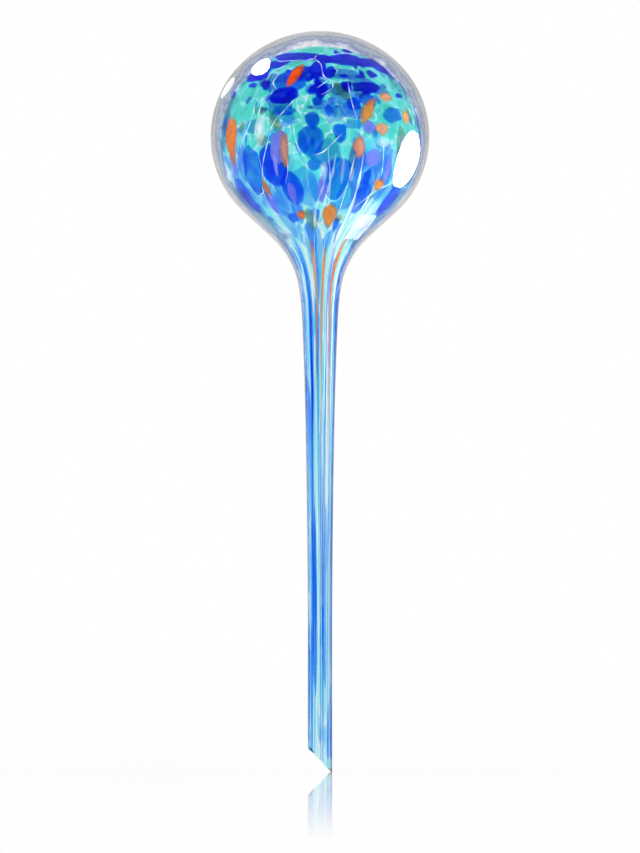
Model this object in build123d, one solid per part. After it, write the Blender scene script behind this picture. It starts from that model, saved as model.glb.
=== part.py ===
"""Hand-blown watering globe: a hollow glass bulb drawn out into a long hollow stem.

The wall is built up as a glassblower builds it. An aqua bubble holds the water and lines the
stem. Chips of cobalt, blue, lilac, amber and opal glass are melted through its wall, and a
heavy clear casing lies over it. Drawing the stem out pulls the lowest chips into long streaks.
The stem's foot is cut on the slant, so that it goes into soil and the water runs out.

Z is up, on the globe's axis, with the lowest point of the foot at zero. The front is at -Y.
Lengths are in millimetres and angles in degrees.
"""

from build123d import *

import os
from dataclasses import dataclass
from math import acos, atan2, cos, degrees, radians, sin, tan

# Outside of the glass
bulb_radius = 40.0
overall_height = 270.5
stem_radius = 4.5
root_radius = 7.9
neck_radius = 31.0
straight_length = 45.0
tip_land = 0.35

# Slopes of the outline and of the cut foot, measured from the axis
cone_angle = 47.5
root_angle = 10.3
bevel_angle = 45.0

# Shape of the outline: the arcs of the bulb as shares of its radius, the height of the slim part
# of the drawn stem as a share of its length, and the slopes where that part and the thicker
# shank over it end, as shares of the stem's mean slope
crown_radius_share = 1.025
belly_radius_share = 0.9375
slim_height_share = 0.6
slim_slope_share = 0.75
shank_slope_share = 1.77


@dataclass
class Skin:
    """Thickness of a layer of glass at the bulb, at the root of the stem and along the stem."""

    bulb: float
    root: float
    stem: float

    def __add__(self, other):
        return Skin(self.bulb + other.bulb, self.root + other.root, self.stem + other.stem)


bare = Skin(0.0, 0.0, 0.0)
casing = Skin(2.8, 1.0, 0.6)
bubble = Skin(1.1, 0.8, 0.6)

# The glass settles at the far end as it is blown, which leaves the crown thicker than the sides
crown_extra = 1.6


@dataclass
class Outline:
    """The points where the arcs of a half outline meet, as (radius, height)."""

    crown_centre: tuple
    belly_centre: tuple
    join_latitude: float
    belly_end: tuple
    neck_start: tuple
    root: tuple
    neck_centre: tuple
    crown_r: float
    belly_r: float
    neck_r: float
    stem_r: float


def trace(inset):
    """The outline of the glass under the given thickness of wall."""
    drop = crown_extra if inset.bulb else 0.0
    crown_r = bulb_radius * crown_radius_share - inset.bulb
    belly_r = bulb_radius * belly_radius_share - inset.bulb
    neck_r = neck_radius + inset.bulb
    root_r = root_radius - inset.root
    belly_x = bulb_radius * (1 - belly_radius_share)
    arm = bulb_radius * (crown_radius_share - belly_radius_share)
    join = degrees(acos(belly_x / arm))
    crown_z = overall_height - bulb_radius * crown_radius_share - drop
    belly_z = crown_z + arm * sin(radians(join))
    slope, root_slope = radians(cone_angle), radians(root_angle)
    belly_end = (belly_x + belly_r * cos(slope), belly_z - belly_r * sin(slope))
    cone = (belly_end[0] - root_r - neck_r * (cos(root_slope) - cos(slope))) / sin(slope)
    neck_start = (belly_end[0] - cone * sin(slope), belly_end[1] - cone * cos(slope))
    neck_centre = (neck_start[0] + neck_r * cos(slope), neck_start[1] - neck_r * sin(slope))
    root = (root_r, neck_centre[1] + neck_r * sin(root_slope))
    return Outline(
        (0, crown_z), (belly_x, belly_z), join, belly_end, neck_start, root, neck_centre,
        crown_r, belly_r, neck_r, stem_radius - inset.stem,
    )


def on_circle(centre, radius, angle):
    """The point of a circle in the XZ plane at an angle above the horizontal."""
    return (centre[0] + radius * cos(radians(angle)), centre[1] + radius * sin(radians(angle)))


def arc(centre, radius, start, end):
    """An arc of that circle, from one angle to another."""
    return ThreePointArc(*(on_circle(centre, radius, a) for a in (start, (start + end) / 2, end)))


def drawn_arcs(outline):
    """The side of the drawn stem, in three tangent arcs that slope more and more up to its root."""
    length = outline.root[1] - straight_length
    growth = outline.root[0] - outline.stem_r
    mean_slope = degrees(atan2(growth, length))
    slopes = (0, slim_slope_share * mean_slope, shank_slope_share * mean_slope, root_angle)
    slim, shank, flare = (tan(radians(a + b) / 2) for a, b in zip(slopes, slopes[1:]))
    slim_height = slim_height_share * length
    upper_height = length - slim_height
    flare_height = (growth - slim_height * slim - upper_height * shank) / (flare - shank)
    runs = ((slim_height, slim), (upper_height - flare_height, shank), (flare_height, flare))
    x, z = outline.stem_r, straight_length
    arcs = []
    for slope, (height, gain) in zip(slopes, runs):
        end = (x + height * gain, z + height)
        arcs.append(TangentArc((x, z), end, tangent=(sin(radians(slope)), cos(radians(slope)))))
        x, z = end
    return arcs


def glass_inside(inset):
    """Everything inside the skins of the given thickness, turned, with the foot cut on the slant."""
    o = trace(inset)
    crown = arc(o.crown_centre, o.crown_r, 90, o.join_latitude)
    belly = arc(o.belly_centre, o.belly_r, o.join_latitude, -cone_angle)
    cone = Line(o.belly_end, o.neck_start)
    neck = arc(o.neck_centre, o.neck_r, 180 - cone_angle, 180 - root_angle)
    straight = Line((o.stem_r, straight_length), (o.stem_r, 0))
    foot = Line((o.stem_r, 0), (0, 0))
    axis = Line((0, 0), crown @ 0)
    half = make_face([crown, belly, cone, neck, *drawn_arcs(o), straight, foot, axis])
    slant = radians(bevel_angle)
    cut = Plane((stem_radius - tip_land, 0, 0), z_dir=(cos(slant), 0, sin(slant)))
    return split(revolve(Plane.XZ * half, Axis.Z), bisect_by=cut, keep=Keep.TOP)


# Chips of the front, in their glasses. Each row gives a chip's longitude from the front and its
# latitude on the bulb, its width and height as shares of the bulb's radius, and its tilt.
cobalt_chip_shares = (
    (-23, 51, 0.38, 0.16, 0),
    (22, 48, 0.34, 0.17, -4),
    (50, 44, 0.26, 0.17, -12),
    (-48, 37, 0.29, 0.16, 22),
    (-2, 40, 0.18, 0.19, 0),
    (-22, 23, 0.25, 0.19, 0),
    (84, 46, 0.30, 0.18, 0),
)
blue_chip_shares = (
    (-5, -2, 0.25, 0.32, 0),
    (10, -24, 0.29, 0.40, 6),
    (-43, -19, 0.24, 0.46, -6),
    (45, 12, 0.24, 0.14, 0),
    (30, -37, 0.16, 0.34, 12),
    (80, 8, 0.25, 0.36, 0),
)
lilac_chip_shares = (
    (-23, -6, 0.17, 0.34, -4),
    (54, -10, 0.14, 0.38, 6),
)
amber_chip_shares = (
    (-16, 37, 0.11, 0.18, -24),
    (-60, 0, 0.16, 0.34, 0),
    (27, 14, 0.11, 0.22, -28),
    (8, -47, 0.12, 0.26, 6),
)
opal_chip_shares = (
    (-35, 4, 0.12, 0.26, 0),
    (-68, -20, 0.17, 0.28, 0),
)

# Streaks drawn out of the lowest chips. Each row gives a streak's longitude from the front, the
# heights of its foot and its head as shares of the drawn length, and the angle that it spreads over.
cobalt_streak_shares = (
    (-132, 0.12, 0.95, 14),
    (-95, 0.42, 0.96, 13),
    (99, 0.45, 0.96, 13),
)
blue_streak_shares = (
    (-64, 0.06, 0.96, 13),
    (-37, 0.20, 0.96, 15),
    (24, 0.40, 0.95, 10),
    (66, 0.10, 0.96, 10),
    (190, 0.30, 0.96, 16),
)
amber_streak_shares = (
    (-12, 0.66, 0.95, 8),
    (7, 0.60, 0.94, 8),
    (38, 0.58, 0.96, 8),
)
opal_streak_shares = (
    (51, 0.35, 0.96, 8),
    (134, 0.40, 0.94, 10),
)


# The corners of a chip of crushed glass, and of a long splinter, as shares of half its width and
# half its height
pebble_corner_shares = ((1, 0.1), (0.45, 0.9), (-0.45, 0.95), (-1, 0.1), (-0.55, -0.9), (0.5, -0.95))
splinter_corner_shares = ((0.1, 1), (-0.9, 0.25), (-0.6, -0.5), (0, -1), (0.9, -0.1), (0.7, 0.6))


def chip_cutters(corner_shares, rows):
    """The columns of glass that the chips of one colour are cut from, square to the bulb."""
    middle = trace(casing).belly_centre[1]
    cutters = []
    for longitude, latitude, width_share, height_share, tilt in rows:
        width, height = width_share * bulb_radius, height_share * bulb_radius
        corners = [(x * width / 2, y * height / 2) for x, y in corner_shares]
        outline = Rot(0, 0, tilt) * make_face(Polyline(corners, close=True))
        for turn in (longitude, longitude + 180):
            plane = facing(turn, latitude, middle).offset(bulb_radius / 2)
            cutters.append(extrude(plane * outline, bulb_radius))
    return cutters


def facing(longitude, latitude, height):
    """The plane through a point of the axis whose normal points out at that longitude and latitude."""
    turn, lift = radians(longitude), radians(latitude)
    out = (sin(turn) * cos(lift), -cos(turn) * cos(lift), sin(lift))
    return Plane((0, 0, height), x_dir=(cos(turn), sin(turn), 0), z_dir=out)


def streak_cutters(rows):
    """The blades of glass that the streaks of one colour are cut from, pointed at both ends."""
    o = trace(casing)
    drawn_length = o.belly_end[1]
    cutters = []
    for longitude, foot_share, head_share, spread in rows:
        half = tan(radians(spread / 2))
        foot, head = foot_share * drawn_length, head_share * drawn_length
        middle = on_circle(o.neck_centre, o.neck_r, 180 - (cone_angle + root_angle) / 2)
        right = [(half * x, z) for x, z in (o.root, middle)]
        left = [(-x, z) for x, z in reversed(right)]
        outline = make_face(Polyline([(0, foot), *right, (0, head), *left], close=True))
        cutters.append(extrude(facing(longitude, 0, 0) * outline, bulb_radius))
    return cutters


blank = glass_inside(bare)
core = glass_inside(casing)
chamber = glass_inside(casing + bubble)
coloured_wall = core - chamber

cutters = {
    "cobalt_chips": chip_cutters(pebble_corner_shares, cobalt_chip_shares),
    "blue_chips": chip_cutters(pebble_corner_shares, blue_chip_shares),
    "lilac_chips": chip_cutters(pebble_corner_shares, lilac_chip_shares),
    "amber_chips": chip_cutters(splinter_corner_shares, amber_chip_shares),
    "opal_chips": chip_cutters(pebble_corner_shares, opal_chip_shares),
    "cobalt_streaks": streak_cutters(cobalt_streak_shares),
    "blue_streaks": streak_cutters(blue_streak_shares),
    "amber_streaks": streak_cutters(amber_streak_shares),
    "opal_streaks": streak_cutters(opal_streak_shares),
}

nodes = {
    "clear_casing": blank - core,
    "aqua_bubble": coloured_wall - [cutter for group in cutters.values() for cutter in group],
}
for name, group in cutters.items():
    nodes[name] = Compound([solid for cutter in group for solid in (coloured_wall & cutter).solids()])

os.makedirs("parts", exist_ok=True)
for name, shape in nodes.items():
    export_step(shape, f"parts/{name}.step")
print(f"The bulb and the stem hold {chamber.volume:.0f} cubic millimetres of water")
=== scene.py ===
"""Looks of a hand-blown watering globe: colours melted under clear glass, drawn out into a stem."""

from math import acos, asin, atan2, cos, pi, radians, sin, tan

import bmesh
import bpy
import numpy as np
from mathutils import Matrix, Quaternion, Vector


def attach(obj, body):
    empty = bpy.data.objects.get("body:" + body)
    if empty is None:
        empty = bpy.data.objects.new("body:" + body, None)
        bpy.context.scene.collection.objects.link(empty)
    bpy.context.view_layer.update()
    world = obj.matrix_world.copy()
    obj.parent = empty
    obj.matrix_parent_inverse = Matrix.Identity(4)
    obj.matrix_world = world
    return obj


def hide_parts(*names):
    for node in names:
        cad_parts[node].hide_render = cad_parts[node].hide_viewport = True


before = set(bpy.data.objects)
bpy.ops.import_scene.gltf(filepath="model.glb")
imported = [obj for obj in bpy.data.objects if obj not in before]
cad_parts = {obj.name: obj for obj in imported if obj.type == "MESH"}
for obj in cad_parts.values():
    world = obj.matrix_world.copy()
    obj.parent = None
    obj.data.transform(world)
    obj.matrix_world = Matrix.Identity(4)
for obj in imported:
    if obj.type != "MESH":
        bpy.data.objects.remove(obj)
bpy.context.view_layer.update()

# The aqua bubble
# The first gather of glass, blown into the bulb that holds the water and drawn out to line the
# stem. It is transparent aqua glass, mottled where it ran thick or thin, and streaky once drawn.
mm = 0.001
bulb_radius = 40.0 * mm
overall_height = 270.5 * mm
stem_radius = 4.5 * mm
root_radius = 7.9 * mm
neck_radius = 31.0 * mm
straight_length = 45.0 * mm
tip_land = 0.35 * mm
crown_extra = 1.6 * mm
cone_angle, root_angle, bevel_angle = radians(47.5), radians(10.3), radians(45)
crown_radius_share, belly_radius_share = 1.025, 0.9375
slim_height_share, slim_slope_share, shank_slope_share = 0.6, 0.75, 1.77

# Thickness of the clear and of the coloured glass at the bulb, at the root and along the stem
casing_skin = np.array((2.8, 1.0, 0.6)) * mm
bubble_skin = np.array((1.1, 0.8, 0.6)) * mm

# How finely the outline is drawn and turned. It starts a hair off the axis, at a ring and not at
# a point, and an edge sharper than this angle stays sharp.
crown_start = radians(89.6)
crown_steps, belly_steps, neck_steps, line_steps = 60, 64, 24, 10
ring_sides = 160
sharp_edge = radians(35)


def arc_points(centre, radius, start, end, count):
    """Points of an arc in the plane of the half outline, between two angles above the horizontal."""
    turn = np.linspace(start, end, count)
    return np.stack([centre[0] + radius * np.cos(turn), centre[1] + radius * np.sin(turn)], 1)


def drawn_points(root, stem_r):
    """The side of the drawn stem from its root down, in three arcs that slope less and less."""
    length, growth = root[1] - straight_length, root[0] - stem_r
    mean_slope = atan2(growth, length)
    slopes = (0, slim_slope_share * mean_slope, shank_slope_share * mean_slope, root_angle)
    slim, shank, flare = (tan((a + b) / 2) for a, b in zip(slopes, slopes[1:]))
    slim_height = slim_height_share * length
    upper_height = length - slim_height
    flare_height = (growth - slim_height * slim - upper_height * shank) / (flare - shank)
    heights = (slim_height, upper_height - flare_height, flare_height)
    x, z = stem_r, straight_length
    points = [[(x, z)]]
    for low, high, height in zip(slopes, slopes[1:], heights):
        radius = height / (sin(high) - sin(low))
        slope = np.linspace(low, high, neck_steps)[1:]
        xs = x + radius * (cos(low) - np.cos(slope))
        zs = z + radius * (np.sin(slope) - sin(low))
        points.append(np.stack([xs, zs], 1))
        x, z = xs[-1], zs[-1]
    return np.concatenate(points)[::-1]


def half_outline(skin, drop):
    """The half outline of the glass under a skin, as (radius, height) from the crown to the foot."""
    bulb, root, stem = skin
    neck_r, root_r, stem_r = neck_radius + bulb, root_radius - root, stem_radius - stem
    crown_r = bulb_radius * crown_radius_share - bulb
    belly_r = bulb_radius * belly_radius_share - bulb
    belly_x = bulb_radius * (1 - belly_radius_share)
    arm = bulb_radius * (crown_radius_share - belly_radius_share)
    join = acos(belly_x / arm)
    crown_z = overall_height - bulb_radius * crown_radius_share - drop
    crown = arc_points((0, crown_z), crown_r, crown_start, join, crown_steps)
    belly_z = crown_z + arm * sin(join)
    belly = arc_points((belly_x, belly_z), belly_r, join, -cone_angle, belly_steps)
    reach = belly[-1][0] - root_r - neck_r * (cos(root_angle) - cos(cone_angle))
    start = belly[-1] - reach / sin(cone_angle) * np.array((sin(cone_angle), cos(cone_angle)))
    cone = np.linspace(belly[-1], start, line_steps)
    centre = start + neck_r * np.array((cos(cone_angle), -sin(cone_angle)))
    neck = arc_points(centre, neck_r, pi - cone_angle, pi - root_angle, neck_steps)
    drawn = drawn_points(neck[-1], stem_r)
    straight = [(stem_r, z) for z in np.linspace(straight_length, 0, line_steps)]
    return np.concatenate([crown, belly[1:], cone[1:-1], neck, drawn[1:], straight[1:]])


core = half_outline(casing_skin, crown_extra)
chamber = half_outline(casing_skin + bubble_skin, crown_extra)

# How far down the wall each point of the outline lies, and the latitude that it is seen at
fall = np.concatenate([[0], np.cumsum(np.linalg.norm(np.diff(core, axis=0), axis=1))])
middle_height = core[np.argmax(core[:, 0])][1]
seen_latitude = np.arctan2(core[:, 1] - middle_height, core[:, 0])

# The latitude that the same glass had on the round gather, before its lower part was pulled out
# into the stem. No glass is lost, so the share of it that lies lower stays what it was.
gather_radius = (core[:, 0].max() + chamber[:, 0].max()) / 2
girth = np.pi * (core[:, 0] + chamber[:, 0]) * np.linalg.norm(core - chamber, axis=1)
laid = np.concatenate([[0], np.cumsum((girth[1:] + girth[:-1]) / 2 * np.diff(fall))])
waist = np.argmin(np.abs(seen_latitude))
left_share = (laid[-1] - laid) / (laid[-1] - laid[waist])
pulled_latitude = np.arcsin(np.clip(left_share - 1, -1, 0))
gather_latitude = np.where(fall < fall[waist], seen_latitude, pulled_latitude)


def as_laid(latitude):
    """The latitude on the round gather of the glass that is now seen at a latitude of the bulb."""
    return np.interp(np.interp(-latitude, -seen_latitude, fall), fall, gather_latitude)


def drawn_down(latitude):
    """How far down the wall a latitude of the round gather was pulled."""
    return np.interp(-latitude, -gather_latitude, fall)


def at_height(height):
    """How far down the wall a height above the foot lies."""
    return np.interp(-height, -core[:, 1], fall)


def around(longitude, radius, height):
    """Points round the axis. The straight end of the stem is drawn up to the slant of its foot."""
    x, y = radius * np.sin(longitude), -radius * np.cos(longitude)
    foot = np.maximum(0, (stem_radius - tip_land - x) / tan(bevel_angle))
    slant = foot * np.maximum(0, 1 - height / straight_length)
    return np.stack([x, y, height + slant], -1)


def on_wall(longitude, down, depth):
    """Points in the coloured wall. The depth is 0 at its outside and 1 at the water."""
    outer = [np.interp(down, fall, core[:, k]) for k in (0, 1)]
    inner = [np.interp(down, fall, chamber[:, k]) for k in (0, 1)]
    radius, height = ((1 - depth) * o + depth * i for o, i in zip(outer, inner))
    return around(longitude, radius, height)


def turned(outline):
    """Rings of an outline turned about the axis."""
    longitude = np.linspace(0, 2 * pi, ring_sides, endpoint=False)
    return around(longitude[None, :], outline[:, :1], outline[:, 1:])


class Gather:
    """Glass of one colour, built up skin by skin into one mesh.

    Its chips lie at one depth in the wall, and their edges are more or less rough, pointed and
    soft. Its chance is the generator of random numbers that varies them. Each point keeps how thick
    its glass melted, the tone of its chip, and its place on the round gather, so that a pattern
    laid on that gather is pulled into streaks with it.
    """

    def __init__(self, chance=None, depth=0.0, rough=0.2, point=0.0, soft_edge=0.5 * mm):
        self.chance = chance
        self.depth, self.rough, self.point, self.soft_edge = depth, rough, point, soft_edge
        self.points, self.faces, self.melt, self.tone = [], [], [], []
        self.outlines = []

    def skin(self, rings, melt=1.0, tone=0.0):
        """Adds a closed skin over rings of points, with a face over its first and last ring."""
        rows, count = rings.shape[:2]
        at = len(self.points) + np.arange(rows * count).reshape(rows, count)
        after = np.roll(at, -1, axis=1)
        sides = np.stack([at[:-1], at[1:], after[1:], after[:-1]], -1).reshape(-1, 4)
        self.points.extend(rings.reshape(-1, 3).tolist())
        self.melt.extend(np.broadcast_to(melt, (rows, count)).ravel().tolist())
        self.tone.extend([tone] * (rows * count))
        self.faces.extend(sides.tolist())
        self.faces.append(at[0].tolist())
        self.faces.append(at[-1][::-1].tolist())

    def laid_places(self):
        """Where each point lay on the round gather."""
        x, y, z = np.array(self.points).T
        longitude = np.arctan2(x, -y)
        latitude = np.interp(at_height(z), fall, gather_latitude)
        east, front = np.sin(longitude) * np.cos(latitude), np.cos(longitude) * np.cos(latitude)
        return np.stack([east, -front, np.sin(latitude)], -1) * gather_radius

    def piece(self, name, material, node):
        """Makes the piece of this glass, which takes the place of a node."""
        mesh = bpy.data.meshes.new(name)
        mesh.from_pydata(self.points, [], self.faces)
        for label, values in (("melt", self.melt), ("tone", self.tone)):
            mesh.attributes.new(label, "FLOAT", "POINT").data.foreach_set("value", values)
        gathered = mesh.attributes.new("gathered", "FLOAT_VECTOR", "POINT")
        gathered.data.foreach_set("vector", self.laid_places().ravel())
        skin = bmesh.new()
        skin.from_mesh(mesh)
        bmesh.ops.recalc_face_normals(skin, faces=skin.faces)
        skin.to_mesh(mesh)
        skin.free()
        mesh.shade_smooth()
        mesh.set_sharp_from_angle(angle=sharp_edge)
        mesh.materials.append(material)
        made = bpy.data.objects.new(name, mesh)
        bpy.context.scene.collection.objects.link(made)
        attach(made, "root")
        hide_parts(node)


def colour(code):
    """A shader colour from an sRGB hex value."""
    parts = [int(code[k:k + 2], 16) / 255 for k in (1, 3, 5)]
    return (*((p / 12.92 if p <= 0.04045 else ((p + 0.055) / 1.055) ** 2.4) for p in parts), 1)


def new_material(name):
    """A material without any nodes yet."""
    made = bpy.data.materials.new(name)
    made.use_nodes = True
    made.node_tree.nodes.clear()
    return made


def add(material, kind, inputs=None, stops=None, **settings):
    """Adds a shader node. Inputs are values or the outputs of other nodes, and stops fill a ramp.

    Where sockets share a name they go by number: a mix of colours takes its share at 0 and its
    colours at 6 and 7, and gives the result at 2.
    """
    made = material.node_tree.nodes.new("ShaderNode" + kind)
    for key, value in settings.items():
        setattr(made, key, value)
    for key, value in (inputs or {}).items():
        if isinstance(value, bpy.types.NodeSocket):
            material.node_tree.links.new(value, made.inputs[key])
        else:
            made.inputs[key].default_value = value
    if stops:
        elements = made.color_ramp.elements
        while len(elements) < len(stops):
            elements.new(0.5)
        for element, (place, code) in zip(elements, stops):
            element.position = place
            element.color = colour(code)
    return made


# Aqua glass between layers of clear has no surface of its own to shine or to bend light, so it only
# tints what is behind it, with a little milk in it. The tint wanders in cells and in broad patches,
# with clear seams between the cells, and runs from sea green high on the gather to sky blue and
# nearly clear low down.
wave_size, wave_reach = 7 * mm, 7 * mm
cell_size, patch_size = 7.5 * mm, 12 * mm
cell_weight, patch_weight = 0.45, 0.8
green_height, green_shift = 12 * mm, -0.42
blue_height, blue_shift = -24 * mm, 0.14
seam_share, seam_edge_share, seam_strength = 0.015, 0.07, 0.9
aqua_milk = 0.08
aqua_stops = (
    (0.10, "#B2F2EC"), (0.30, "#C2FAF8"), (0.46, "#D0FDFD"), (0.60, "#B4DCFE"), (0.74, "#DDFCFD"),
    (0.90, "#FBFFFF"),
)
aqua_glass = new_material("blown_aqua_glass")
place = add(aqua_glass, "Attribute", attribute_name="gathered").outputs["Vector"]
waves = add(aqua_glass, "TexNoise", {"Vector": place, "Scale": 1 / wave_size, "Detail": 3.0})
bent = add(aqua_glass, "VectorMath", {0: waves.outputs["Color"], 1: (wave_reach,) * 3, 2: place},
           operation="MULTIPLY_ADD").outputs[0]
cells = add(aqua_glass, "TexVoronoi", {"Vector": bent, "Scale": 1 / cell_size}).outputs["Color"]
cell = add(aqua_glass, "SeparateColor", {"Color": cells}).outputs[0]
edges = add(aqua_glass, "TexVoronoi", {"Vector": bent, "Scale": 1 / cell_size},
            feature="DISTANCE_TO_EDGE").outputs["Distance"]
patches = add(aqua_glass, "TexNoise", {"Vector": place, "Scale": 1 / patch_size, "Detail": 2.0})
height = add(aqua_glass, "SeparateXYZ", {"Vector": place}).outputs["Z"]
shade = add(aqua_glass, "MapRange", {"Value": height, "From Min": green_height, "From Max": blue_height,
                                     "To Min": green_shift, "To Max": blue_shift}).outputs["Result"]
shade = add(aqua_glass, "Math", {0: cell, 1: cell_weight, 2: shade}, operation="MULTIPLY_ADD").outputs[0]
shade = add(aqua_glass, "Math", {0: patches.outputs["Fac"], 1: patch_weight, 2: shade},
            operation="MULTIPLY_ADD").outputs[0]
aqua = add(aqua_glass, "ValToRGB", {"Fac": shade}, stops=aqua_stops).outputs["Color"]
seam = add(aqua_glass, "MapRange", {"Value": edges, "From Min": seam_share, "From Max": seam_edge_share,
                                    "To Min": seam_strength, "To Max": 0.0}).outputs["Result"]
aqua = add(aqua_glass, "Mix", {0: seam, 6: aqua, 7: colour("#FFFFFF")}, data_type="RGBA").outputs[2]
clear_part = add(aqua_glass, "BsdfTransparent", {"Color": aqua}).outputs[0]
milky_part = add(aqua_glass, "BsdfDiffuse", {"Color": colour("#8FF0F0")}).outputs[0]
surface = add(aqua_glass, "MixShader", {0: aqua_milk, 1: clear_part, 2: milky_part}).outputs[0]
add(aqua_glass, "OutputMaterial", {"Surface": surface})

# The bubble's skin lies in the inner half of the coloured wall, behind the chips
bubble_outside, bubble_inside = 0.5, 0.95
bubble = Gather()
outer, inner = ((1 - depth) * core + depth * chamber for depth in (bubble_outside, bubble_inside))
bubble.skin(np.concatenate([turned(outer), turned(inner)[::-1]]))
bubble.piece("blown_aqua_bubble", aqua_glass, "aqua_bubble")

# The cobalt chips
# Crushed cobalt glass, picked up by the hot bubble and melted into its wall. The chips gather
# round the shoulder of the bulb, and each is thick in the middle and thin at its edge.
ring_shares = (0.12, 0.40, 0.64, 0.80, 0.90, 0.96, 1.0)
chip_sides = 36
ripple_counts = (2, 3, 4, 5, 7, 9)
chip_bulge, chip_depth_spread = 0.13, 0.08

# Some chips are thinner than others, and those of the back are thin, as they show through the front
least_melt, back_melt = 0.75, 0.4

# Chips keep off the poles of the gather, and near the lower one their longitudes stop widening
lowest_chip, highest_chip, widest_chip = radians(-88), radians(85), radians(-80)


def as_gathered(latitude, width, height):
    """The latitude and the size that a chip seen on the bulb had on the round gather."""
    down = np.interp(-latitude, -seen_latitude, fall)
    before = as_laid(latitude)
    near = 1 * mm
    squeeze = np.interp(down, fall, core[:, 0]) / (gather_radius * cos(before))
    lowered = before - np.interp(down + near, fall, gather_latitude)
    return before, width / squeeze, height * lowered * gather_radius / near


def lay_chip(glass, longitude, latitude, width, height, tilt=0, tone=None, melt=1):
    """Melts a chip into the gather, uneven and thin at its edge, and draws it out with the stem."""
    chance = glass.chance
    round_edge = np.linspace(0, 2 * pi, chip_sides, endpoint=False)
    uneven = np.ones(chip_sides)
    for count in ripple_counts:
        ripple = glass.rough / count * chance.uniform(-1, 1)
        uneven += ripple * np.cos(count * round_edge + chance.uniform(0, 2 * pi))
    across = np.cos(round_edge)
    right = width / 2 * uneven * np.sign(across) * np.abs(across) ** (1 + glass.point)
    up = height / 2 * uneven * np.sin(round_edge)
    right, up = right * cos(tilt) - up * sin(tilt), right * sin(tilt) + up * cos(tilt)
    middle = glass.depth + chance.uniform(0, chip_depth_spread)
    shares = np.array(ring_shares + ring_shares[-2::-1])
    face = np.array([-1] * len(ring_shares) + [1] * (len(ring_shares) - 1))
    rings = []
    for share, rise in zip(shares, chip_bulge * np.sqrt(1 - shares ** 2) * face):
        there = np.clip(latitude + up * share / gather_radius, lowest_chip, highest_chip)
        turn = longitude + right * share / (gather_radius * np.cos(np.maximum(there, widest_chip)))
        rings.append(on_wall(turn, drawn_down(there), middle + rise))
        if share == 1:
            glass.outlines.append((turn, there))
    inwards = (1 - shares) * min(width, height) / 2
    thickness = melt * chance.uniform(least_melt, 1) * np.minimum(1, inwards / glass.soft_edge)
    glass.skin(np.array(rings), thickness[:, None], chance.uniform(-1, 1) if tone is None else tone)


def lay_chips(glass, rows):
    """Melts the chips of one colour into the front and, thinner and half round, the back.

    A row gives a chip's longitude and latitude on the bulb, its width and height as shares of the
    bulb's radius, its tilt and, where it isn't left to chance, its tone.
    """
    for longitude, latitude, width_share, height_share, tilt, *tone in rows:
        size = as_gathered(radians(latitude), width_share * bulb_radius, height_share * bulb_radius)
        for turn, melt in ((0, 1), (pi, back_melt)):
            lay_chip(glass, radians(longitude) + turn, *size, radians(tilt), *(tone or [None]), melt)


def scatter(glass, count, lowest, highest, least, most, tallness=1, melt=1):
    """Melts small chips in at random between two latitudes of the gather."""
    for _ in range(count):
        latitude = np.arcsin(glass.chance.uniform(sin(radians(lowest)), sin(radians(highest))))
        width, height = glass.chance.uniform(least, most, 2)
        longitude = glass.chance.uniform(0, 2 * pi)
        lay_chip(glass, longitude, latitude, width, height * tallness, melt=melt)


def even_stops(codes):
    """The stops of a ramp through evenly spaced colours."""
    return [(k / (len(codes) - 1), code) for k, code in enumerate(codes)]


# Coloured glass inside clear glass tints what is behind it, more where it is thick. The thin edge
# of a chip is nearly clear, its thick middle has the full colour, cloudy over a few millimetres,
# and the thickest is milky: it catches light, and an emission of its milky colour adds a painted
# glow on top, so that it shines though it is no lamp.
cloud_size = 5 * mm
thin_cloud, thick_cloud = 0.32, 0.62
milk_power, painted_glow_strength = 1.6, 0.3


def melted_glass(name, thin, thick, milky, least_milk, most_milk, evenness=0.4):
    """Coloured glass melted into the wall. Its thick and milky colours follow a chip's tone."""
    made = new_material(name)
    place = add(made, "Attribute", attribute_name="gathered").outputs["Vector"]
    melt = add(made, "Attribute", attribute_name="melt").outputs["Fac"]
    tone = add(made, "Attribute", attribute_name="tone").outputs["Fac"]
    cloud = add(made, "TexNoise", {"Vector": place, "Scale": 1 / cloud_size, "Detail": 4.0,
                                   "Distortion": 1.0}).outputs["Fac"]
    cloud = add(made, "MapRange", {"Value": cloud, "From Min": thin_cloud, "From Max": thick_cloud,
                                   "To Min": evenness, "To Max": 1.0}).outputs["Result"]
    depth = add(made, "Math", {0: melt, 1: cloud}, operation="MULTIPLY", use_clamp=True).outputs[0]
    turn = add(made, "MapRange", {"Value": tone, "From Min": -1.0, "From Max": 1.0}).outputs["Result"]
    full = add(made, "ValToRGB", {"Fac": turn}, stops=even_stops(thick)).outputs["Color"]
    tint = add(made, "Mix", {0: depth, 6: colour(thin), 7: full}, data_type="RGBA").outputs[2]
    milk_depth = add(made, "Math", {0: depth, 1: milk_power}, operation="POWER").outputs[0]
    milk_share = add(made, "MapRange", {"Value": milk_depth, "To Min": least_milk,
                                        "To Max": most_milk}).outputs["Result"]
    clear = add(made, "BsdfTransparent", {"Color": tint}).outputs[0]
    white = add(made, "ValToRGB", {"Fac": turn}, stops=even_stops(milky)).outputs["Color"]
    lit = add(made, "BsdfDiffuse", {"Color": white}).outputs[0]
    # Painted glow: an emission of the milky colour that brightens the glass though it is no lamp
    glow = add(made, "Emission", {"Color": white, "Strength": painted_glow_strength}).outputs[0]
    milk = add(made, "AddShader", {0: lit, 1: glow}).outputs[0]
    surface = add(made, "MixShader", {0: milk_share, 1: clear, 2: milk}).outputs[0]
    add(made, "OutputMaterial", {"Surface": surface})
    return made


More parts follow.
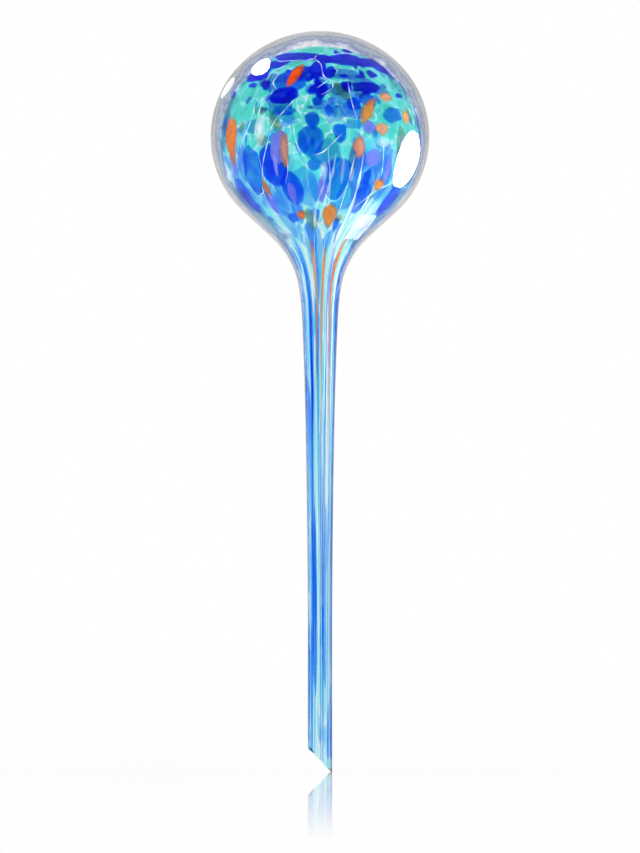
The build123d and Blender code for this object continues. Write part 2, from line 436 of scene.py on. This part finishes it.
# Cobalt is the strongest blue in glass, so even a thin chip stays dark against the light
cobalt_chip_shares = (
    (-23, 51, 0.38, 0.16, 0), (22, 48, 0.34, 0.17, -4), (50, 44, 0.26, 0.17, -12),
    (-48, 37, 0.29, 0.16, 22), (-2, 40, 0.18, 0.19, 0), (-22, 23, 0.25, 0.19, 0),
    (84, 46, 0.30, 0.18, 0), (30, 28, 0.30, 0.12, 0), (7, 38, 0.12, 0.14, 0),
    (-1, 27, 0.18, 0.12, 0), (2, 49, 0.20, 0.12, 0), (-36, 45, 0.26, 0.13, 12),
    (37, 46, 0.20, 0.13, 0), (-14, 38, 0.20, 0.16, 0),
)
cobalt_glass = melted_glass(
    "melted_cobalt_glass", thin="#C0D8FF", thick=("#1030F0", "#2048FA"), milky=("#0A20E8", "#0A18D8"),
    least_milk=0.0, most_milk=0.10, evenness=0.75,
)
cobalt = Gather(np.random.default_rng(11), depth=0.16, rough=0.34)
lay_chips(cobalt, cobalt_chip_shares)
scatter(cobalt, 60, 22, 58, 1.2 * mm, 4.5 * mm)
cobalt.piece("melted_cobalt_chips", cobalt_glass, "cobalt_chips")

# The blue chips
# Crushed mid blue glass, melted in round the middle of the bulb and below. The lowest are drawn
# out towards the neck. The glass is bright and clear, and deepens where chips lie behind each other.
blue_chip_shares = (
    (-5, -2, 0.25, 0.32, 0), (45, 12, 0.24, 0.14, 0), (80, 8, 0.25, 0.36, 0),
    (-21, 14, 0.25, 0.09, 0), (11, 2, 0.14, 0.15, 0), (5, 14, 0.08, 0.11, 0),
    (20, 18, 0.14, 0.13, 0), (10, -24, 0.29, 0.40, 6), (-43, -19, 0.24, 0.46, -6),
    (30, -37, 0.16, 0.34, 12), (-18, -30, 0.21, 0.34, -4), (-20, 32, 0.30, 0.24, 0),
    (29, 20, 0.16, 0.16, 0), (-28, -16, 0.30, 0.40, 0), (-60, -34, 0.20, 0.40, 0),
    (58, -36, 0.20, 0.40, 0),
)
blue_glass = melted_glass(
    "melted_blue_glass", thin="#C8E8FF", thick=("#4C8CFF", "#70C0FA"), milky=("#2A7CF0", "#2896F0"),
    least_milk=0.0, most_milk=0.12,
)
blue = Gather(np.random.default_rng(12), depth=0.26, rough=0.2, point=0.1)
lay_chips(blue, blue_chip_shares)
scatter(blue, 40, -60, 30, 1.5 * mm, 6 * mm)
scatter(blue, 14, -85, -28, 4 * mm, 9 * mm, melt=0.45)
blue.piece("melted_blue_chips", blue_glass, "blue_chips")

# The lilac chips
# Crushed lilac glass, melted in along the sides of the bulb. It is milkier than the blues, so it
# veils what is behind it and keeps its own colour.
lilac_chip_shares = (
    (-23, -6, 0.17, 0.34, -4), (54, -10, 0.14, 0.38, 6), (28, 5, 0.12, 0.12, 0),
    (31, -12, 0.15, 0.16, 0),
)
lilac_glass = melted_glass(
    "melted_lilac_glass", thin="#E6E6FF", thick=("#AEB2FF", "#C4BCFF"), milky=("#7C92EA", "#98A4EA"),
    least_milk=0.25, most_milk=0.62,
)
lilac = Gather(np.random.default_rng(13), depth=0.10, rough=0.2, point=0.1)
lay_chips(lilac, lilac_chip_shares)
scatter(lilac, 12, -80, 0, 2 * mm, 4.5 * mm, tallness=2)
lilac.piece("melted_lilac_chips", lilac_glass, "lilac_chips")

# The amber chips
# A few splinters of amber glass, melted in nearest to the clear casing. They are almost opaque:
# vivid orange where they lie thick, and tan or salmon where they ran thin.
amber_chip_shares = (
    (-17, 36, 0.11, 0.27, -24, -1), (-57, 1, 0.19, 0.38, 0, -0.5), (28, 14, 0.11, 0.29, -36, 0.2),
    (8, -49, 0.13, 0.32, 6, 0.1), (42, 22, 0.17, 0.09, 0, 0.8), (36, 4, 0.14, 0.12, 0, 1),
    (22, -6, 0.12, 0.20, -8, 0.9), (39, -27, 0.11, 0.13, 0, 0), (55, 11, 0.09, 0.13, 12, 0.5),
    (-16, -49, 0.09, 0.12, 0, -0.6), (-74, 17, 0.14, 0.16, -10, 0.6), (-36, -29, 0.06, 0.20, 14, 0),
    (-20, -7, 0.09, 0.34, 0, 0.9),
)
amber_glass = melted_glass(
    "melted_amber_glass", thin="#FFF0E0", thick=("#FFB878", "#FFD8B4"),
    milky=("#FA5E00", "#E8863C", "#E6A04A", "#E2A08C"), least_milk=0.15, most_milk=0.90, evenness=0.7,
)
amber = Gather(np.random.default_rng(14), depth=0.0, rough=0.22, point=0.5, soft_edge=0.9 * mm)
lay_chips(amber, amber_chip_shares)
amber.piece("melted_amber_chips", amber_glass, "amber_chips")

# The opal chips
# Chips of opal glass, which is white because it scatters light. They ran thin and soft at the
# edge, so they show as pale patches, and the first of them is a painted soft reflection. Some of the
# glass ran out into fine white threads, and the veins among them are painted highlights.
# The first chip, the pale patch left of the bulb's middle, is a painted soft reflection of a broad light
opal_chip_shares = (
    (-35, 4, 0.12, 0.26, 0), (-68, -20, 0.17, 0.28, 0), (37, -3, 0.13, 0.10, 0),
    (2, -20, 0.08, 0.19, 0),
)
opal_glass = melted_glass(
    "melted_opal_glass", thin="#FFFFFF", thick=("#FFFFFF", "#FFFFFF"), milky=("#F4FFFF", "#EAFCFF"),
    least_milk=0.10, most_milk=0.95, evenness=0.8,
)
opal = Gather(np.random.default_rng(15), depth=0.03, rough=0.2, point=0.3, soft_edge=2.6 * mm)
lay_chips(opal, opal_chip_shares)
scatter(opal, 26, -85, -8, 1.2 * mm, 2.6 * mm, tallness=3)

# The threads are drawn out of the same opal glass. Their width and their milk waver along them.
thread_width, thread_sides, thread_depth = 0.40 * mm, 6, 0.10
thread_end_share = 0.02
width_waver, width_waver_step = 0.3, 0.9
milk_waver, milk_waver_step = 0.34, 0.5
smallest_step = 1e-9


def lay_thread(glass, longitude, latitude, width=thread_width, strength=1.0):
    """Melts a thread in along a path over the gather, pointed at both ends."""
    steps = np.arange(len(longitude))
    east, north = np.gradient(longitude) * np.cos(latitude), np.gradient(latitude)
    length = np.hypot(east, north) + smallest_step
    along = np.linspace(thread_end_share, 1 - thread_end_share, len(longitude))
    half = np.sin(along * pi) ** 0.5 * width / 2 / gather_radius
    wave = np.sin(steps * width_waver_step + glass.chance.uniform(0, 2 * pi))
    half = half * (1 - width_waver + width_waver * wave)
    section = np.linspace(0, 2 * pi, thread_sides, endpoint=False)
    turn = longitude[:, None] - (half * north / length / np.cos(latitude))[:, None] * np.cos(section)
    there = latitude[:, None] + (half * east / length)[:, None] * np.cos(section)
    depth = glass.depth + thread_depth / 2 * np.sin(section)[None, :]
    wave = np.sin(steps * milk_waver_step + glass.chance.uniform(0, 2 * pi))
    melt = strength * (1 - milk_waver + milk_waver * wave)
    glass.skin(on_wall(turn, drawn_down(there), depth), melt[:, None], glass.chance.uniform(-1, 1))


# White veins of opal glass wander between the chips as painted highlights: bright lines of light bent
# where chips meet. Each path gives its corners on the bulb, as (longitude, latitude), and is smoothed
# a few times before it is laid on the front and on the back.
highlight_vein_paths = (
    ((-11, 47), (-5, 49), (1, 44), (2, 35), (8, 31), (8, 27), (1, 23)),
    ((0, 34), (5, 32), (-2, 27)),
    ((18, 32), (18, 23), (19, 16), (21, 9)),
    ((-33, 22), (-36, 16), (-37, 7), (-38, -1)),
    ((-40, 20), (-40, 12), (-44, 2), (-49, -6)),
    ((-25, -7), (-16, -4)),
    ((-27, 43), (-36, 37), (-37, 32)),
    ((-15, 8), (-14, 0), (-12, -7), (-9, -11)),
    ((-4, -11), (2, -9), (12, 1)),
    ((-15, 20), (-22, 12), (-23, 11)),
    ((-23, 12), (-27, 6), (-31, -7), (-35, -17), (-37, -26), (-35, -37)),
    ((37, -1), (38, -14), (39, -22)),
    ((20, -10), (19, -15), (16, -37), (15, -51)),
    ((58, 20), (61, 12), (63, 7)),
    ((27, -43), (38, -31), (51, -25)),
)
points_per_corner, smoothings = 8, 5
for corners in highlight_vein_paths:
    corner = np.radians(np.array(corners, float))
    step = np.linspace(0, len(corners) - 1, points_per_corner * len(corners))
    turn, seen = (np.interp(step, np.arange(len(corners)), corner[:, k]) for k in (0, 1))
    for _ in range(smoothings):
        turn[1:-1] = (turn[:-2] + turn[1:-1] * 2 + turn[2:]) / 4
        seen[1:-1] = (seen[:-2] + seen[1:-1] * 2 + seen[2:]) / 4
    for way_round in (0, pi):
        lay_thread(opal, turn + way_round, as_laid(seen))

# Thinner threads follow part of the edge of some of the taller chips, as painted highlights along them
edge_highlight_share, edge_highlight_width = 0.35, thread_width * 0.7
least_chip_height = radians(9)
shortest_edge_thread, longest_edge_thread = 8, 18
for turn, there in cobalt.outlines + blue.outlines + lilac.outlines:
    if opal.chance.random() < edge_highlight_share and np.ptp(there) > least_chip_height:
        start = opal.chance.integers(0, chip_sides)
        count = opal.chance.integers(shortest_edge_thread, longest_edge_thread)
        picked = (start + np.arange(count)) % chip_sides
        lay_thread(opal, np.unwrap(turn[picked]), there[picked], edge_highlight_width)

# Faint broad threads run down the lower bulb, where the glass was pulled towards the neck
drawn_threads, drawn_thread_points, sway = 34, 40, 0.001
for _ in range(drawn_threads):
    top, low = opal.chance.uniform(-26, -4), opal.chance.uniform(-78, -34)
    path = np.radians(np.linspace(top, low, drawn_thread_points))
    turn = np.cumsum(np.cumsum(opal.chance.normal(0, sway, drawn_thread_points)))
    turn = opal.chance.uniform(0, 2 * pi) + turn
    width = thread_width * opal.chance.uniform(0.8, 4.5)
    lay_thread(opal, turn, path, width, opal.chance.uniform(0.25, 0.8))
opal.piece("melted_opal_chips", opal_glass, "opal_chips")

# The streaks
# The lowest chips of cobalt, blue, amber and opal glass, pulled into long tapering streaks as the
# stem was drawn. Stretched so far, the blues among them are paler than the chips they come from.
# A streak widens under its head and then tapers, and thins out to both ends and to its sides.
streak_depth, streak_rows, streak_sides = 0.2, 60, 10
head_share, head_power, tail_power = 0.12, 0.6, 0.5
streak_sway, sway_turn, thinnest_streak = radians(1.5), 7, radians(0.15)
head_fade, tail_fade, streak_edge_melt = 8, 1.6, 0.25
drawn_latitude = radians(-45)


def draw_streak(glass, melt, longitude, foot, head, spread, tone=0):
    """Draws one streak down the wall, widest under its head and pointed at both ends."""
    share = np.linspace(0, 1, streak_rows)
    height = head + (foot - head) * share
    share, height = share[height > 0], height[height > 0]
    width = np.minimum(1, share / head_share) ** head_power * (1 - share) ** tail_power
    half = np.maximum(radians(spread) / 2 * width, thinnest_streak)
    sway = streak_sway * np.sin(share * sway_turn + glass.chance.uniform(0, 2 * pi))
    section = np.linspace(0, 2 * pi, streak_sides, endpoint=False)
    turn = radians(longitude) + sway[:, None] + half[:, None] * np.cos(section)
    depth = glass.depth + chip_bulge * np.sin(section)[None, :]
    fade = np.minimum(1, np.minimum(share * head_fade, (1 - share) * tail_fade))[:, None]
    thickness = melt * fade * (streak_edge_melt + (1 - streak_edge_melt) * np.abs(np.sin(section)))
    glass.skin(on_wall(turn, at_height(height)[:, None], depth), thickness, tone)


# Each row gives a streak's longitude, the heights of its foot and head as shares of the drawn
# length, the angle that it spreads over and its tone. A foot under zero ends at the cut.
drawn_length = core[np.argmin(np.abs(seen_latitude - drawn_latitude))][1]
streak_shares = {
    "cobalt": ((-132, 0.12, 0.95, 14), (-95, 0.42, 0.96, 13), (99, 0.45, 0.96, 13)),
    "blue": ((-64, 0.06, 0.96, 13, 1), (-37, 0.20, 0.96, 15, 0.2), (24, 0.40, 0.95, 10, -1),
             (66, 0.10, 0.96, 10, 1), (190, 0.30, 0.96, 16, 1), (-46, -0.15, 0.45, 30, 1),
             (-27, -0.12, 0.50, 10, 0.4), (14, -0.12, 0.55, 10, 0.2), (3, -0.20, 0.30, 8, 1),
             (75, -0.15, 0.50, 14, 1), (120, -0.15, 0.50, 20, 0.5), (-120, -0.12, 0.45, 18, 0.3),
             (160, -0.15, 0.50, 14, 0)),
    "amber": ((-12, 0.66, 0.95, 8, 0.9), (7, 0.60, 0.94, 8, 0.2), (38, 0.58, 0.96, 8, -0.5)),
    "opal": ((51, 0.35, 0.96, 8), (134, 0.40, 0.94, 10), (36, -0.10, 0.40, 5), (-8, -0.05, 0.50, 4)),
}
streak_glass = {"cobalt": cobalt_glass, "blue": blue_glass, "amber": amber_glass, "opal": opal_glass}
streak_melt = {"cobalt": 0.28, "blue": 0.45, "amber": 1.0, "opal": 1.0}
chance = np.random.default_rng(16)
for name, rows in streak_shares.items():
    streaks = Gather(chance, depth=streak_depth)
    for longitude, foot_share, top_share, spread, *tone in rows:
        foot, head = foot_share * drawn_length, top_share * drawn_length
        draw_streak(streaks, streak_melt[name], longitude, foot, head, spread, *tone)
    streaks.piece(f"drawn_{name}_streaks", streak_glass[name], f"{name}_streaks")

# The clear casing
# A heavy gather of clear glass over the coloured bubble, fire polished smooth. Over the bulb it
# stands a hair clear of the colours, so that its far wall mirrors and shows as a clear rim, and
# from the neck down the two are one.
polish_loss = 0.02 * mm
fuse_top, fuse_length = 185 * mm, 25 * mm
bulb_lining_depth, stem_lining_depth = -0.12, 1.08
outside = half_outline(np.full(3, polish_loss), 0)
fused = np.clip((fuse_top - core[:, 1]) / fuse_length, 0, 1)
fused = fused * fused * (3 - 2 * fused)
lining_depth = (bulb_lining_depth + (stem_lining_depth - bulb_lining_depth) * fused)[:, None]
lining = (1 - lining_depth) * core + lining_depth * chamber

# Fire-polished clear glass: perfectly smooth, it bends what is behind it and mirrors the softboxes.
# White paper stands all round it, whose image would veil the colours, so face on it mirrors next
# to nothing but the brightest lamps. Seen edge on, its colour darkens with the flatness of the glance
# into wisps of blue, lilac, sea green and grey: painted shade at the rim, standing in for the darker
# surroundings seen bent through the thick glass. The shader takes the square root of its colour at
# each crossing, so the colours of the ramp are darker than the rim looks.
glass_ior = 1.5
face_on_mirror = (0.05, 0.05, 0.05, 1)
wisp_size, wisp_reach = 9 * mm, 0.5
rim_tint_and_painted_shade_stops = (
    (0.47, "#FFFFFF"), (0.54, "#8FA6D8"), (0.59, "#3F4E90"), (0.635, "#7C96AE"), (0.68, "#345E88"),
    (0.74, "#6E6A90"), (0.80, "#93A6A8"), (0.90, "#55555C"),
)
clear_glass = new_material("fire_polished_clear_glass")
place = add(clear_glass, "TexCoord").outputs["Object"]
wisps = add(clear_glass, "TexNoise", {"Vector": place, "Scale": 1 / wisp_size, "Detail": 4.0,
                                      "Roughness": 0.62}).outputs["Fac"]
wisps = add(clear_glass, "Math", {0: wisps, 1: wisp_reach, 2: -wisp_reach / 2},
            operation="MULTIPLY_ADD").outputs[0]
glance = add(clear_glass, "LayerWeight", {"Blend": 0.5}).outputs["Facing"]
edge_on = add(clear_glass, "Math", {0: wisps, 1: glance}, operation="ADD").outputs[0]
# Painted shade: the ramp darkens the glass towards grey as the glance flattens, wavering in wisps
tint = add(clear_glass, "ValToRGB", {"Fac": edge_on}, stops=rim_tint_and_painted_shade_stops).outputs["Color"]
outer_face = add(clear_glass, "BsdfPrincipled", {
    "Base Color": tint, "Roughness": 0.0, "IOR": glass_ior, "Specular Tint": face_on_mirror,
    "Transmission Weight": 1.0}).outputs[0]

# The inner face only bends the light, but where it is looked at from inside the glass, at a glance
# flatter than the critical angle, it mirrors all of it
flat_glance = 1 - cos(asin(1 / glass_ior))
flat = add(clear_glass, "Math", {0: glance, 1: flat_glance}, operation="GREATER_THAN").outputs[0]
from_glass = add(clear_glass, "NewGeometry").outputs["Backfacing"]
mirrored = add(clear_glass, "Math", {0: flat, 1: from_glass}, operation="MULTIPLY").outputs[0]
through = add(clear_glass, "BsdfRefraction", {"IOR": glass_ior, "Roughness": 0.0}).outputs[0]
mirror = add(clear_glass, "BsdfGlossy", {"Color": (1, 1, 1, 1), "Roughness": 0.0}).outputs[0]
inner_face = add(clear_glass, "MixShader", {0: mirrored, 1: through, 2: mirror}).outputs[0]

# The melt of the casing's points is 1 on its outer face and 0 on its inner one. The thick glass
# between them takes a little light, and a touch more of the green, which leaves a lilac cast.
side = add(clear_glass, "Attribute", attribute_name="melt").outputs["Fac"]
surface = add(clear_glass, "MixShader", {0: side, 1: inner_face, 2: outer_face}).outputs[0]
lilac_cast = add(clear_glass, "VolumeAbsorption", {"Color": (0.10, 0.0, 0.12, 1),
                                                   "Density": 18.0}).outputs[0]
add(clear_glass, "OutputMaterial", {"Surface": surface, "Volume": lilac_cast})

casing = Gather()
is_outside = np.repeat((1.0, 0.0), (len(outside), len(lining)))
casing.skin(np.concatenate([turned(outside), turned(lining)[::-1]]), is_outside[:, None])
casing.piece("clear_glass_casing", clear_glass, "clear_casing")

# The floor
# A plain white sheet that the globe stands on, polished enough to mirror the foot. The mirror
# fades away from the foot, and the sheet is as white as the paper behind it.
floor_half = 4.0
mirror_share, mirror_length, mirror_narrowness = 0.8, 0.42, 6
sheet_white = 0.88
floor_mesh = bpy.data.meshes.new("floor")
floor_corners = [(x * floor_half, y * floor_half, 0) for x, y in ((-1, -1), (1, -1), (1, 1), (-1, 1))]
floor_mesh.from_pydata(floor_corners, [], [(0, 1, 2, 3)])
floor = bpy.data.objects.new("floor", floor_mesh)
bpy.context.scene.collection.objects.link(floor)

# A polished white sheet. What the camera, a mirror or the glass sees of it is lifted to plain white,
# and only the object's shadow darkens it.
white_sheet = new_material("polished_white_sheet")
place = add(white_sheet, "TexCoord").outputs["Object"]
place = add(white_sheet, "VectorMath", {0: place, 1: (mirror_narrowness, 1, 1)},
            operation="MULTIPLY").outputs[0]
distance = add(white_sheet, "VectorMath", {0: place}, operation="LENGTH").outputs["Value"]
polish = add(white_sheet, "MapRange", {"Value": distance, "From Min": 0.0, "From Max": mirror_length,
                                       "To Min": mirror_share, "To Max": 0.0}).outputs["Result"]
seen_by = add(white_sheet, "LightPath").outputs
plain = add(white_sheet, "Math", {0: seen_by["Is Camera Ray"], 1: seen_by["Is Glossy Ray"]},
            operation="MAXIMUM").outputs[0]
plain = add(white_sheet, "Math", {0: plain, 1: seen_by["Is Transmission Ray"]},
            operation="MAXIMUM").outputs[0]
lift = add(white_sheet, "Math", {0: plain, 1: 1 - sheet_white}, operation="MULTIPLY").outputs[0]
sheet = add(white_sheet, "BsdfDiffuse", {"Color": (sheet_white, sheet_white, sheet_white, 1)}).outputs[0]
extra = add(white_sheet, "Emission", {"Strength": lift}).outputs[0]
paper = add(white_sheet, "AddShader", {0: sheet, 1: extra}).outputs[0]
mirror = add(white_sheet, "BsdfGlossy", {"Color": (1, 1, 1, 1), "Roughness": 0.01}).outputs[0]
surface = add(white_sheet, "MixShader", {0: polish, 1: paper, 2: mirror}).outputs[0]
add(white_sheet, "OutputMaterial", {"Surface": surface})
floor_mesh.materials.append(white_sheet)

# The light
# White paper all round, at the level where a colour renders as it is written, and four softboxes
# that only the polished glass mirrors: one close beside the bulb, two behind its left shoulder,
# and one that lies on the floor and shines up at the neck.
world = bpy.data.worlds.new("white_paper")
bpy.context.scene.world = world
world.use_nodes = True
world.node_tree.nodes["Background"].inputs["Color"].default_value = (1, 1, 1, 1)
world.node_tree.nodes["Background"].inputs["Strength"].default_value = 1.0

bulb_middle = Vector((0, 0, 230.5)) * mm
neck_card_place = Vector((142, 140, 5)) * mm
over_neck_card = neck_card_place + Vector((0, 0, 1))
honeycomb_spread = radians(150)


def off_the_bulb(longitude, latitude, distance):
    """A point at a distance from the middle of the bulb, at a longitude and latitude in degrees."""
    turn, lift = radians(longitude), radians(latitude)
    out = Vector((sin(turn) * cos(lift), -cos(turn) * cos(lift), sin(lift)))
    return bulb_middle + out * distance


# Each softbox has its place, the point that it faces, its width and height, its roll in degrees
# and its brightness beside that of the paper. A honeycomb in front of each narrows its spread.
softboxes = {
    "right_softbox": (off_the_bulb(93.59, -14.65, 87.4 * mm), bulb_middle, 56 * mm, 61 * mm, 0, 110),
    "left_softbox": (off_the_bulb(-124.68, 46.83, 1000.6 * mm), bulb_middle, 440 * mm, 210 * mm, 24, 110),
    "rim_softbox": (off_the_bulb(-146.8, 19.23, 501.5 * mm), bulb_middle, 190 * mm, 69 * mm, 29, 2.2),
    "neck_card": (neck_card_place, over_neck_card, 180 * mm, 30 * mm, 110, 8),
}
for name, (place, target, width, height, roll, brightness) in softboxes.items():
    lamp = bpy.data.lights.new(name, "AREA")
    lamp.shape = "ELLIPSE"
    lamp.size, lamp.size_y = width, height
    lamp.energy = brightness * pi * (pi / 4 * width * height)
    lamp.spread = honeycomb_spread
    box = bpy.data.objects.new(name, lamp)
    box.location = place
    away = (place - target).normalized()
    box.rotation_mode = "QUATERNION"
    box.rotation_quaternion = away.to_track_quat("Z", "Y") @ Quaternion((0, 0, 1), radians(roll))
    box.visible_camera = box.visible_diffuse = False
    box.visible_transmission = box.visible_volume_scatter = False
    bpy.context.scene.collection.objects.link(box)

# The camera
# Level and straight in front, a long way back, as product photographs are taken. Its view is as
# high as the photograph's at the globe.
camera_distance, camera_height = 2.5, 126.0 * mm
view_height = 311.6 * mm
film_height = 36.0 * mm
camera = bpy.data.cameras.new("camera")
camera.sensor_fit = "VERTICAL"
camera.sensor_height = film_height / mm
camera.lens = camera.sensor_height * camera_distance / view_height
eye = bpy.data.objects.new("camera", camera)
eye.location = (0, -camera_distance, camera_height)
eye.rotation_euler = (pi / 2, 0, 0)
bpy.context.scene.collection.objects.link(eye)
bpy.context.scene.camera = eye
bpy.context.scene.view_settings.view_transform = "Standard"

# Light crosses many layers of glass on its way through the bulb
cycles = bpy.context.scene.cycles
cycles.max_bounces, cycles.transmission_bounces, cycles.transparent_max_bounces = 24, 16, 96
